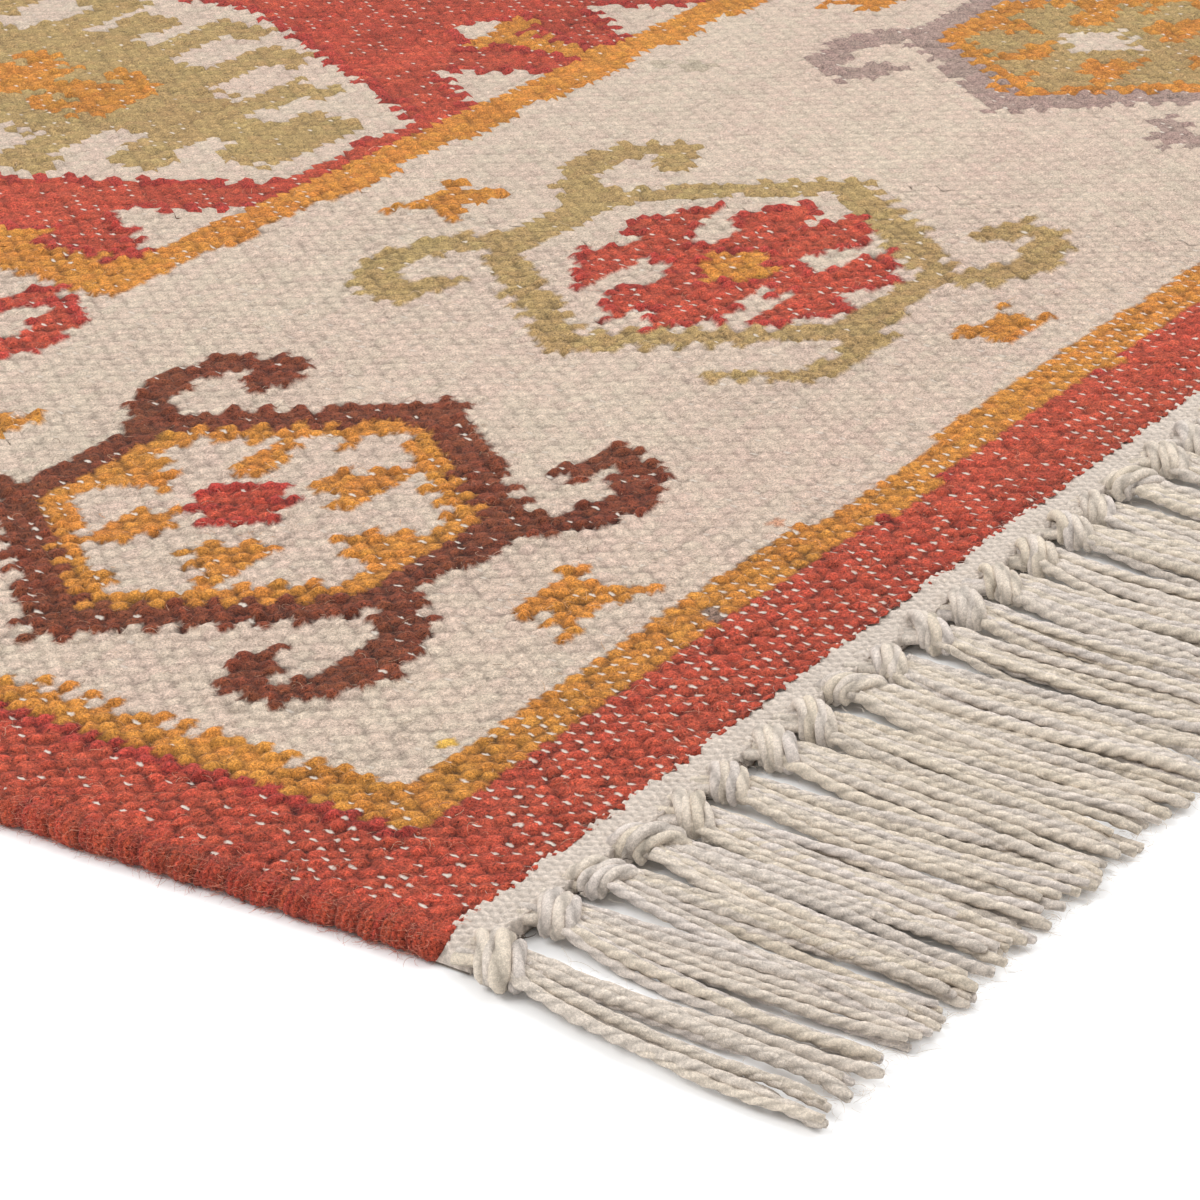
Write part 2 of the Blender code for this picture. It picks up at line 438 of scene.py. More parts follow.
# ---- meshes
def add_piece(name, points, faces, material, node, layers):
    """A mesh object that stands for one solid. layers maps an attribute's name to its values."""
    mesh = bpy.data.meshes.new(name)
    mesh.vertices.add(len(points))
    mesh.vertices.foreach_set("co", np.asarray(points, np.float32).ravel())
    mesh.loops.add(faces.size)
    mesh.loops.foreach_set("vertex_index", np.asarray(faces, np.int32).ravel())
    mesh.polygons.add(len(faces))
    starts = np.arange(0, faces.size, faces.shape[1], dtype=np.int32)
    mesh.polygons.foreach_set("loop_start", starts)
    for layer, (domain, values) in layers.items():
        kind, field = ("FLOAT", "value") if values.ndim == 1 else ("FLOAT_VECTOR", "vector")
        made = mesh.attributes.new(layer, kind, domain)
        made.data.foreach_set(field, values.astype(np.float32).ravel())
    mesh.update(calc_edges=True)
    mesh.shade_smooth()
    mesh.materials.append(material)
    piece = bpy.data.objects.new(name, mesh)
    bpy.context.scene.collection.objects.link(piece)
    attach(piece, "root")
    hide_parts(node)
    return piece


def sheet_faces(rows, columns, start=0, around=False):
    """Triangles of a grid of points stored row by row. around joins its last column to the first."""
    wide = columns if around else columns - 1
    r, c = np.meshgrid(np.arange(rows - 1), np.arange(wide), indexing="ij")
    a = start + r * columns + c
    b = start + r * columns + (c + 1) % columns
    lower = np.stack([a, b, b + columns], -1).reshape(-1, 3)
    upper = np.stack([a, b + columns, a + columns], -1).reshape(-1, 3)
    return np.concatenate([lower, upper])


def repeated_faces(faces, count, points_each):
    """The same faces on each of many shapes whose points follow one another."""
    return (np.arange(count)[:, None, None] * points_each + faces).reshape(-1, 3)


def flat_points(*coordinates):
    return np.stack(coordinates, -1).reshape(-1, len(coordinates))


# ---- where the eye comes close
def camera_turn():
    return Euler((math.radians(90 - CAMERA_PITCH), 0, math.radians(CAMERA_HEADING - 90)))


def camera_place():
    return Vector(CORNER) + Vector(CAMERA_FROM_CORNER)


def closeness(x, y):
    """Distance in metres from the stage's camera, or infinity well outside its frame."""
    place, turn = np.array(camera_place()), np.array(camera_turn().to_matrix())
    x, y, z = np.broadcast_arrays(x, y, CORNER[2])
    ahead = (np.stack([x, y, z], -1) - place) @ turn
    distance = -ahead[..., 2]
    reach = SENSOR_WIDTH / 2 / CAMERA_LENS * distance + 0.035
    framed = (distance > 0) & (abs(ahead[..., 0]) < reach) & (abs(ahead[..., 1]) < reach)
    return np.where(framed, distance, np.inf)


# ---- the woven ground
# A weft shows on the face where it passes over a warp, at every other crossing, as a bead. A
# bead fills the diamond between the four crossings beside it, where the warp may show white.
GROUND_BASE = 0.0053
# Beads that are closer to the camera than this, in metres, have more cuts to a crossing.
CUT_LIMITS = ((1.14, 4), (1.36, 3), (3.0, 2))
# The coarser beads have fewer points on their crowns, so their hollows count as shallower and get less
# painted shade.
SHALLOWEST = {4: 0.0, 3: 0.10, 2: 0.32, 1: 0.58}
# By colour, in the order of the dyes: how much painted shade darkens the hollows, how tall the
# beads are, how uneven the dye is and how often a warp shows.
HOLLOW_SHADE = np.array([0.62, 1.0, 1.0, 1.0, 0.85, 0.75])
BEAD_HEIGHT = np.array([0.42, 1.0, 0.95, 1.05, 0.72, 0.60])
DYE_CHANGE = np.array([0.34, 1.0, 0.75, 1.0, 0.45, 0.40])
FLECK_CHANCE = np.array([0.20, 0.30, 0.20, 0.22, 0.12, 0.12])
# The warps show more over this depth at each end, where the wefts are beaten less tight.
OPEN_DEPTH = 0.058
OPEN_CHANCE = 0.66
# Rows past the ground's ends are drawn in by this share, under the web's edge.
END_SQUEEZE = 0.68
SPECKS = (
    # distance from the near left corner across and along the rug, radius, strength, colour
    (0.0890, 0.0690, 0.0030, 0.85, (0.75, 0.42, 0.03)),
    (0.1955, 0.0485, 0.0034, 0.75, (0.14, 0.14, 0.15)),
    (0.2568, 0.0676, 0.0030, 0.70, (0.55, 0.22, 0.10)),
    (0.6109, 0.3222, 0.0075, 0.45, (0.28, 0.25, 0.16)),
    (0.6060, 0.3360, 0.0040, 0.35, (0.28, 0.25, 0.16)),
)


def crossings():
    return np.meshgrid(np.arange(WARPS + 1), np.arange(ROWS + 1), indexing="ij")


def bead_colours(rng, chart, i, j, ridge):
    """Each bead's dye, with its streaks, and the stains on the finished rug."""
    shape = chart.shape
    tone = 1 + 0.15 * rng.uniform(-1, 1, shape) + 0.11 * lattice_noise(j / 5.3, i / 60, 22)
    tone += 0.07 * lattice_noise(i / 17, j / 9, 23)
    warmth = 0.10 * rng.uniform(-1, 1, shape) + 0.07 * lattice_noise(i / 30, j / 7.7, 24)
    change = DYE_CHANGE[chart]
    colour = dyes()[chart] * (1 + change * (tone - 1))[..., None]
    colour[..., 1] *= 1 + change * warmth
    colour[..., 2] *= 1 + change * warmth * 0.6
    colour[ridge & (chart == RED)] *= (0.90, 0.70, 0.95)
    for across, along, radius, share, stain in SPECKS:
        left = i * WARP_PITCH - GROUND_HALF_WIDTH + RUG_WIDTH / 2 - across
        up = j * ROW_PITCH - GROUND_HALF_LENGTH + RUG_LENGTH / 2 - along
        marked = left**2 + up**2 < radius**2
        colour[marked] = (1 - share) * colour[marked] + share * np.array(stain)
    return colour


def wool_beads(chart):
    """Height, reach and place of the bead at each crossing, and its colour."""
    rng = np.random.default_rng(21)
    shape = chart.shape
    i, j = crossings()
    height = sizes().bead * (1 + 0.34 * rng.uniform(-1, 1, shape))
    height *= BEAD_HEIGHT[chart]
    ridge = (np.roll(chart, 2, axis=0) != chart) | (np.roll(chart, -2, axis=0) != chart)
    height += sizes().ridge * ridge * rng.uniform(0.7, 1.9, shape)
    colour = bead_colours(rng, chart, i, j, ridge)
    return {
        "height": height,
        "wide": rng.uniform(0.96, 1.18, shape),
        "tall": rng.uniform(0.60, 0.82, shape),
        "right": rng.uniform(-0.20, 0.20, shape),
        "up": rng.uniform(-0.16, 0.16, shape),
        "colour": colour,
    }


def weft_relief(x, y, beads):
    """Height over the valleys, its share of a whole bead, and the highest bead at each point."""
    nearest_warp, nearest_row = np.rint(x).astype(int), np.rint(y).astype(int)
    top, share, owner = np.zeros(x.shape), np.zeros(x.shape), np.zeros(x.shape, int)
    for dj in (-1, 0, 1):
        for di in (-2, -1, 0, 1, 2):
            i, j = nearest_warp + di, nearest_row + dj
            over = (i + j) % 2 == 0
            at = np.clip(i, 0, WARPS), np.clip(j, 0, ROWS)
            across = (x - i - beads["right"][at]) / beads["wide"][at]
            along = (y - j - beads["up"][at]) / beads["tall"][at]
            dome = np.where(over, np.clip(1 - across**2 - along**2, 0, 1) ** 0.80, 0)
            top = np.maximum(top, beads["height"][at] * dome)
            owner = np.where(dome > share, at[0] * (ROWS + 1) + at[1], owner)
            share = np.maximum(share, dome)
    return top, share, owner


def bead_mesh(i, j, cuts):
    """Corner points, counted in cuts of a crossing, and triangles of the beads at (i, j)."""
    if cuts == 1:
        steps = np.array([(-1, 0), (0, -1), (1, 0), (0, 1), (0, 0)])
        corners = np.array([(0, 1, 4), (1, 2, 4), (2, 3, 4), (3, 0, 4)])
    else:
        a, b = np.meshgrid(np.arange(cuts + 1), np.arange(cuts + 1), indexing="ij")
        steps = flat_points(a + b - cuts, b - a)
        p = (np.arange(cuts)[:, None] * (cuts + 1) + np.arange(cuts)).ravel()
        south, east, north = p + cuts + 1, p + cuts + 2, p + 1
        corners = np.concatenate([flat_points(p, south, east), flat_points(p, east, north)])
    points = np.stack([i, j], -1)[:, None] * cuts + steps
    return points, repeated_faces(corners, len(i), len(steps))


def straighten_borders(z, index, i, j, cuts, level):
    """Makes bead edges straight where the next bead is meshed at another fineness."""
    side = np.arange(cuts + 1)
    t = side / cuts
    sides = {
        (-1, -1): side * (cuts + 1),
        (1, -1): cuts * (cuts + 1) + side,
        (1, 1): side * (cuts + 1) + cuts,
        (-1, 1): side,
    }
    for (di, dj), local in sides.items():
        ii, jj = np.clip(i + di, 0, WARPS), np.clip(j + dj, 0, ROWS)
        edge = index[level[ii, jj] != cuts][:, local]
        z[edge] = z[edge[:, :1]] * (1 - t) + z[edge[:, -1:]] * t


def fineness():
    """Cuts of a crossing at each crossing, finer where the stage's camera comes close."""
    block_i = np.clip(np.arange(WARPS + 1) // BLOCK_WARPS, 0, BLOCKS_ACROSS - 1)
    block_j = np.clip(np.arange(ROWS + 1) // BLOCK_ROWS, 0, BLOCKS_ALONG - 1)
    x = ((np.arange(BLOCKS_ACROSS) + 0.5) / BLOCKS_ACROSS * 2 - 1) * GROUND_HALF_WIDTH
    y = ((np.arange(BLOCKS_ALONG) + 0.5) / BLOCKS_ALONG * 2 - 1) * GROUND_HALF_LENGTH
    away = closeness(x[:, None], y[None, :])
    limits, cuts = zip(*CUT_LIMITS)
    return np.select([away < limit for limit in limits], cuts, 1)[block_i[:, None], block_j[None, :]]


def warp_flecks(chart, i, j):
    """How much of the warp shows at each crossing."""
    rng = np.random.default_rng(31)
    shows = rng.uniform(0, 1, chart.shape)
    open_depth = OPEN_DEPTH + 0.006 * lattice_noise(i / 9, 0, 37)
    is_open = np.minimum(j, ROWS - j) * ROW_PITCH < open_depth
    chance = np.where(is_open, OPEN_CHANCE, FLECK_CHANCE[chart])
    chance = chance * (1 + 0.8 * lattice_noise(i / 11, j / 3, 38))
    flecks = np.where(shows < chance, rng.uniform(0.55, 1.0, chart.shape), 0)
    return flecks * np.where(chart == CREAM, 0.55, 1.0)


def lay_ground(x, y, fine):
    """Where points counted in warps and rows lie on the rug, with a hand weave's unevenness."""
    px = x * WARP_PITCH - GROUND_HALF_WIDTH + 0.0003 * lattice_noise(x * 0.9, y * 0.9, 34)
    past = np.maximum(-y, 0) - np.maximum(y - ROWS, 0)
    py = (y + END_SQUEEZE * past) * ROW_PITCH - GROUND_HALF_LENGTH
    py = py + 0.0004 * lattice_noise(x * 0.7, y * 0.8, 35)
    if fine:
        px = px + 0.0004 * lattice_noise(x * 2.3, y * 2.1, 41)
        py = py + 0.0005 * lattice_noise(x * 2.1, y * 2.3, 42)
    return settle(px, py)


def face_owners(x, y, triangles, i, j, cuts, beads):
    """The bead whose dye each triangle has: its own or, on the finer ones, the highest there."""
    owner = np.repeat(i * (ROWS + 1) + j, len(triangles) // len(i))
    if cuts == 1:
        return owner
    _, covered, highest = weft_relief(x[triangles].mean(axis=1), y[triangles].mean(axis=1), beads)
    return np.where(covered > 0, highest, owner)


def weave_zone(name, cuts, i, j, chart, beads, level, flecks):
    """The beads at (i, j), joined where they meet."""
    points, faces = bead_mesh(i, j, cuts)
    keys = (points[..., 0] + 8) * 100_000 + points[..., 1] + 8
    _, first, index = np.unique(keys, return_index=True, return_inverse=True)
    index = index.reshape(keys.shape)
    triangles = index.ravel()[faces]
    x, y = (points.reshape(-1, 2)[first] / cuts).T
    z, share, highest = weft_relief(x, y, beads)
    fine = cuts > 2
    if fine:
        z = z + 0.0003 * lattice_noise(x * 2.1, y * 2.7, 36)
    if cuts > 1:
        straighten_borders(z, index, i, j, cuts, level)
    slow = 0.0004 * lattice_noise(x / 23, y / 19, 32) + 0.0002 * lattice_noise(x / 7, y / 6, 33)
    px, py = lay_ground(x, y, fine)
    warp = np.clip(np.rint(x).astype(int), 0, WARPS)
    row = np.clip(np.rint(y).astype(int), 0, ROWS)
    under = (warp + row) % 2 == 1
    if fine:
        beside = warp + np.where(under & (warp < WARPS), 1, -under.astype(int))
        owner = np.where(share > 0, highest, beside * (ROWS + 1) + row)
    else:
        owner = face_owners(x, y, triangles, i, j, cuts, beads)
    # Painted shade: the dye is darkened in the hollows between beads, through the depth attribute.
    shade = (1 - SHALLOWEST[cuts]) * (1 - share) * HOLLOW_SHADE[chart[warp, row]]
    layers = {
        "weave": ("POINT", flat_points(x, y, np.where(under, flecks[warp, row], 0))),
        "depth": ("POINT", 1 - shade),
        "dye": ("POINT" if fine else "FACE", beads["colour"].reshape(-1, 3)[owner]),
    }
    place = flat_points(px, py, GROUND_BASE + slow + z)
    add_piece(name, place, triangles, wool_material(), "woven_ground", layers)


def weave_ground():
    """The face of the ground, in zones of one fineness each."""
    chart = draw_chart()
    beads = wool_beads(chart)
    level = fineness()
    i, j = crossings()
    flecks = warp_flecks(chart, i, j)
    left = i < WARPS // 2
    zones = (
        ("ground_near", 4, level == 4),
        ("ground_middle", 3, level == 3),
        ("ground_far", 2, level == 2),
        ("ground_rest_left", 1, (level == 1) & left),
        ("ground_rest_right", 1, (level == 1) & ~left),
    )
    for name, cuts, zone in zones:
        chosen = zone & ((i + j) % 2 == 0)
        weave_zone(name, cuts, i[chosen], j[chosen], chart, beads, level, flecks)
    return chart, beads


def weave_back(chart, beads):
    """The rug's underside: the same figures, in strips two rows deep."""
    x, y, colours = [], [], []
    for j in range(0, ROWS, 2):
        ends = np.flatnonzero(np.diff(chart[:, j])) + 1
        ends = np.concatenate([[0], ends, [WARPS]])
        for left, right in zip(ends[:-1], ends[1:]):
            cuts = np.linspace(left, right, max(2, int((right - left) / 20) + 2))
            for a, b in zip(cuts[:-1], cuts[1:]):
                x.append((a, a, b, b))
                y.append((j, j + 2, j + 2, j))
                colours.append(beads["colour"][left:right, j].mean(axis=0))
    x, y = np.array(x).ravel(), np.array(y, float).ravel()
    px, py = settle(x * WARP_PITCH - GROUND_HALF_WIDTH, y * ROW_PITCH - GROUND_HALF_LENGTH)
    # The underside gets an even painted shade through its depth of 0.6.
    layers = {
        "weave": ("POINT", flat_points(x, y, np.full(x.shape, 0.35))),
        "depth": ("POINT", np.full(x.shape, 0.6)),
        "dye": ("FACE", np.array(colours)),
    }
    points = flat_points(px, py, np.full(x.shape, UNDERSIDE))
    faces = np.arange(len(x)).reshape(-1, 4)
    add_piece("ground_back", points, faces, wool_material(), "woven_ground", layers)


# ---- the cotton webs
WEB_TOP = 0.0057
# How far its rounded ends reach in, and how far they stand back from the rug's sides.
WEB_SIDE = 0.0032
WEB_INSET = 0.0022
# How far it reaches under the last wefts, how much deeper that and its outer edge make it, and
# the pitch of its own wefts.
WEB_UNDER = 0.0012
WEB_LAPS = 0.0022
WEB_PICK = 0.0017
# It is meshed finely as far to the right as this, and the rest is coarser.
WEB_SHOWN = -0.17
ROUNDING = 0.97


def web_columns(half, columns):
    turn = half - WEB_SIDE * (1 - np.cos(np.linspace(0, 1, 9)[:8] * np.pi / 2))
    shown = np.linspace(WEB_SIDE - half, WEB_SHOWN, columns)
    hidden = np.linspace(WEB_SHOWN, half - WEB_SIDE, 260)[1:]
    return np.concatenate([-turn, shown, hidden, turn[::-1]])


def weave_web(end):
    """The narrow cotton strip past the ground, from under its last wefts down to the floor."""
    label = END_NAMES[end]
    columns, rows = (1000, 17) if end < 0 else (120, 8)
    half = RUG_WIDTH / 2 - WEB_INSET
    x, t = np.meshgrid(web_columns(half, columns), np.linspace(0, 1, rows))
    inner = RUG_LENGTH / 2 - WEB_DEPTH - WEB_UNDER
    depth = WEB_DEPTH + WEB_LAPS
    warp = x / WARP_PITCH
    shed = t * depth / WEB_PICK + 0.25 * lattice_noise(warp * 0.8, t * 4, 55)
    over = np.cos(2 * np.pi * warp) * np.cos(np.pi * shed)
    bump = 0.00034 * over + 0.00040 * lattice_noise(warp * 1.7, t * 9, 51)
    bump += 0.0006 * lattice_noise(x / 0.011, t * 2, 52)
    edge = np.clip((t - 0.80) / 0.20, 0, 1)
    aside = np.clip((abs(x) - half + WEB_SIDE) / WEB_SIDE, 0, 1)
    z = (WEB_TOP + bump) * np.sqrt(1 - ROUNDING * edge**2) * np.sqrt(1 - ROUNDING * aside**2)
    wobble = 0.0004 * lattice_noise(warp * 1.1, t * 3, 53) * t
    reach = inner + depth * np.sin(np.minimum(t / 0.97, 1) * np.pi / 2) ** 0.9
    px, py = settle(x, end * (reach + wobble))
    points = flat_points(px, py, z)
    columns = x.shape[1]
    top = sheet_faces(rows, columns)
    base = sheet_faces(2, columns, start=len(points))
    # The two ends are mirrored, so their faces run opposite ways round.
    top, base = (top, base[:, ::-1]) if end < 0 else (top[:, ::-1], base)
    under = np.stack([px, py * 0.9999, np.full(x.shape, UNDERSIDE)], -1)[[0, -1]].reshape(-1, 3)
    points = np.concatenate([points, under])
    tone = 1 + 0.05 * lattice_noise(points[:, 0] / 0.006, points[:, 1] / 0.004, 54)
    rise = np.concatenate([over.ravel(), np.zeros(2 * columns)])
    # Painted shade: the cotton is darker where the weave dips, and on the underside strip.
    layers = {
        "depth": ("POINT", np.clip(0.65 + 0.35 * rise, 0, 1)),
        "dye": ("POINT", dye("web") * tone[:, None]),
    }
    faces = np.concatenate([top, base])
    node = f"cotton_web_{label}"
    add_piece(f"web_{label}", points, faces, cotton_material(), node, layers)


# ---- the side bindings
BINDING_TOP = 0.0076
BINDING_TUCK = 0.0040
BINDING_DROP = 0.0016
BINDING_END = RUG_LENGTH / 2 - WEB_DEPTH + 0.0024
BINDING_BLUNT = 0.0035
BINDING_SHOWN = 0.165
STRAND_PITCH = 0.0021
STRANDS_TO_A_FOLD = 4


def wrap_binding(side, start, stop, step, around, name):
    """Strands of wool wrapped round the rug's side, as one ribbed and hairy roll."""
    rng = np.random.default_rng(61 + (side > 0))
    rows = int((stop - start) / step) + 2
    # s runs from under the ground's edge, over the top, round the outside and back under.
    y, s = np.meshgrid(np.linspace(start, stop, rows), np.linspace(0, 1, around), indexing="ij")
    half = BINDING_TOP / 2
    flat = BINDING_SHOWS + BINDING_TUCK - half
    turned = math.pi * half
    run = s * (2 * flat + turned)
    bend = np.clip((run - flat) / half, 0, math.pi)
    out = np.where(run < flat, run, flat + half * np.sin(bend))
    out = np.where(run > flat + turned, flat - (run - flat - turned), out)
    z = half + half * np.cos(bend)
    z = np.where(run < flat, z - BINDING_DROP * np.cos(np.pi / 2 * run / flat) ** 1.3, z)
    lean = y + (0.0040 * np.sin(s * 3.4) + 0.0020 * lattice_noise(y / 0.013, s * 3, 62))
    strand = lean / STRAND_PITCH + 0.35 * lattice_noise(y / 0.006, s * 4, 68)
    bundle = lean / (STRANDS_TO_A_FOLD * STRAND_PITCH) + 0.30 * lattice_noise(y / 0.020, s * 2, 67)
    groove = abs(np.sin(np.pi * strand)) ** 0.7
    fold = abs(np.sin(np.pi * bundle)) ** 0.6
    fuzz = lattice_noise(y / 0.0011, s * 40, 63) * 0.5 + lattice_noise(y / 0.0005, s * 90, 64) * 0.5
    lump = lattice_noise(y / 0.0065, s * 3.5, 65)
    push = 0.0006 * (groove - 1) + 0.0008 * (fold - 1) + 0.00035 * fuzz + 0.0006 * lump
    push *= np.clip((2 * flat + turned - run) / 0.0025, 0, 1)
    # The last few millimetres are rounded off to a blunt end.
    close = np.clip((abs(y) - BINDING_END + BINDING_BLUNT) / BINDING_BLUNT, 0, 1)
    round_off = np.sqrt(1 - ROUNDING * close**2)
    out = flat + (out - flat + push * np.sin(bend)) * round_off - 0.0015 * close**2
    z = np.maximum(half + (z + push * np.cos(bend) - half) * round_off, 0.0003)
    px, py = settle(side * (RUG_WIDTH / 2 - flat - half + out), y)
    faces = sheet_faces(rows, around)
    faces = faces if side < 0 else faces[:, ::-1]
    tint = rng.uniform(-1, 1, 4096)
    number = np.floor(strand).astype(int)
    tone = 1 + 0.13 * tint[number % 4096] + 0.12 * lattice_noise(y / 0.03, s * 2, 66) + 0.16 * fuzz
    colour = dye("binding") * tone[..., None]
    colour[..., 1] *= 1 + 0.16 * tint[(number * 7) % 4096]
    # Painted shade: the wool is darker in the grooves between strands and the folds between bundles.
    layers = {
        "depth": ("POINT", np.clip(0.45 * groove + 0.55 * fold, 0, 1).ravel()),
        "dye": ("POINT", colour.reshape(-1, 3)),
    }
    node = "side_binding_left" if side < 0 else "side_binding_right"
    points = flat_points(px, py, z)
    add_piece(name, points, faces, binding_material(), node, layers)


def bind_sides():
    close = BINDING_SHOWN - BINDING_END
    wrap_binding(-1, -BINDING_END, close, 0.00042, 56, "binding_left_near")
    wrap_binding(-1, close - 0.0004, BINDING_END, 0.0021, 13, "binding_left_far")
    wrap_binding(1, -BINDING_END, BINDING_END, 0.0021, 13, "binding_right")


# ---- knots and cords of the fringes
KNOT_FROM_WEB = 0.0066
KNOT_HALF_WIDTH, KNOT_HALF_HEIGHT, KNOT_LENGTH, KNOT_STRAND = 0.0052, 0.0036, 0.0102, 0.00225
CORNER_BULK = 1.25
BUNDLE_STRAND = 0.00205
BUNDLE_AT_WEB, BUNDLE_AT_KNOT = 0.0074, 0.0030
CORDS_START = 0.0100
FAN_AT_KNOT, FAN_AT_TIP = 0.0044, 0.0114
PLY_TURN = 0.0130
PLY_WAIST = 0.65
# The tassels in front of the stage's camera have more strands, and the rest are plainer.
SHOWN_TASSELS = 21


def sweep_cords(paths, radii, turns, ref, sides):
    """Round strands of two twisted plies along many paths at once."""
    tangent = np.gradient(paths, axis=1)
    tangent /= np.linalg.norm(tangent, axis=-1, keepdims=True) + 1e-12
    side = np.cross(tangent, ref)
    side /= np.linalg.norm(side, axis=-1, keepdims=True) + 1e-12
    up = np.cross(side, tangent)
    angle = 2 * np.pi * np.arange(sides) / sides
    ply = np.abs(np.cos(angle - turns[..., None]))
    reach = radii[..., None] * (PLY_WAIST + (1 - PLY_WAIST) * ply)
    ring = np.cos(angle)[:, None] * side[:, :, None] + np.sin(angle)[:, None] * up[:, :, None]
    points = paths[:, :, None] + reach[..., None] * ring
    count, rings = paths.shape[:2]
    faces = repeated_faces(sheet_faces(rings, sides, around=True), count, rings * sides)
    return points.reshape(-1, 3), faces, ply.reshape(-1)


def strand_paths(x, y, z):
    return np.stack(np.broadcast_arrays(x, y, z), -1)


def add_strands(name, end, paths, radii, turns, ref, sides, rng, spread, lowest):
    """A piece of the fringe made of cotton strands, each with its own tint."""
    count, rings = len(paths), paths.shape[1]
    points, faces, ply = sweep_cords(paths, radii, turns, ref, sides)
    points[:, 2] = np.maximum(points[:, 2], lowest)
    tone = 1 + spread * rng.uniform(-1, 1, (count, 1))
    warmth = rng.uniform(-0.05, 0.05, (count, 1))
    tints = dye("cord") * tone * (1 + warmth * np.array([0.3, 0.0, -1.2]))
    # Painted shade: the cotton is darker in the creases between the two plies.
    layers = {
        "depth": ("POINT", np.clip(0.25 + 0.85 * ply, 0, 1)),
        "dye": ("POINT", np.repeat(tints, rings * sides, axis=0)),
    }
    node = f"fringe_{END_NAMES[end]}"
    add_piece(name, points, faces, cotton_material(), node, layers)


def at_corner(centres):
    return abs(centres) > RUG_WIDTH / 2 - TASSEL_PITCH


def tassel_centres(end):
    """Where each tassel leaves the web. The last one at each corner stands a little further out."""
    rng = np.random.default_rng(71 if end < 0 else 72)
    x = -RUG_WIDTH / 2 + (np.arange(TASSELS) + 0.5) * TASSEL_PITCH
    x += rng.uniform(-0.0022, 0.0022, TASSELS)
    x[0] -= 0.0034
    x[-1] += 0.0034
    return settle(x, np.full(TASSELS, end * (RUG_LENGTH / 2 - 1e-4)))


def tie_knots(end, centres, web_y, fine, name, seed):
    """Each knot is a few strands wound aslant round its middle."""
    rng = np.random.default_rng(seed)
    wraps, rings, sides = (4, 18, 10) if fine else (3, 6, 5)
    each = (len(centres), 1, 1)
    strands = len(centres) * wraps
    phi = np.linspace(math.radians(-50), math.radians(230), rings)
    offset = (np.arange(wraps) - (wraps - 1) / 2) * (KNOT_LENGTH / wraps)
    lean = rng.uniform(0.7, 1.3, each) * rng.choice([-1, 1], each, p=[0.2, 0.8])
    belly = (1 - 0.22 * (offset / 0.0040) ** 2)[None, :, None]
    bulk = np.where(at_corner(centres), CORNER_BULK, 1.0)[:, None, None]
    wide = KNOT_HALF_WIDTH * bulk * belly * rng.uniform(0.9, 1.15, each)
    tall = KNOT_HALF_HEIGHT * bulk**0.5 * belly * rng.uniform(0.9, 1.1, each)
    x = centres[:, None, None] + wide * np.cos(phi)
    z = 0.0050 + tall * np.sin(phi)
    out = KNOT_FROM_WEB + bulk * offset[None, :, None] - lean * 0.0036 * np.cos(phi)
    y = web_y[:, None, None] + end * (out + rng.uniform(-0.0008, 0.0008, each))
    wobble = rng.uniform(-0.0006, 0.0006, (len(centres), wraps, 1, 3))
    paths = (strand_paths(x, y, z) + wobble).reshape(strands, rings, 3)
    # Each wrap ends in a point, hidden under the next.
    closed = np.where(np.arange(rings) % (rings - 1) == 0, 0.05, 1)
    radii = np.repeat(KNOT_STRAND * bulk[:, 0] ** 0.5, wraps, axis=0)
    radii = radii * rng.uniform(0.85, 1.12, (strands, 1)) * closed
    turns = 2 * np.pi * np.linspace(0, 0.016, rings) / PLY_TURN + rng.uniform(0, np.pi, (strands, 1))
    add_strands(name, end, paths, radii, turns, (0, 1, 0), sides, rng, 0.06, UNDERSIDE)


def gather_warps(end, centres, web_y, fine, name, seed):
    """Bundles of warps that run from the web's edge into each knot."""
    rng = np.random.default_rng(seed)
    strands, rings, sides = (6, 7, 8) if fine else (5, 4, 4)
    shape = (len(centres), strands, 1)
    count = len(centres) * strands
    t = np.linspace(0, 1, rings)
    spread = np.linspace(-1, 1, strands)[None, :, None]
    narrow = np.where(at_corner(centres), 0.55, 1.0)[:, None, None]
    fan = BUNDLE_AT_WEB * narrow * (1 - t) ** 2 + BUNDLE_AT_KNOT * (1 - (1 - t) ** 2)
    x = centres[:, None, None] + spread * fan + rng.uniform(-0.0004, 0.0004, shape)
    y = web_y[:, None, None] + end * (-0.0030 + (KNOT_FROM_WEB + 0.0070) * t)
    z = 0.0038 + 0.0012 * t + rng.uniform(-0.0006, 0.0006, shape)
    paths = strand_paths(x, y, z).reshape(count, rings, 3)
    radii = BUNDLE_STRAND * np.where(t > 0.99, 0.1, 1) * np.ones((count, 1))
    turns = t * 2.2 + rng.uniform(0, np.pi, (count, 1))
    add_strands(name, end, paths, radii, turns, (0, 0, 1), sides, rng, 0.04, 0)


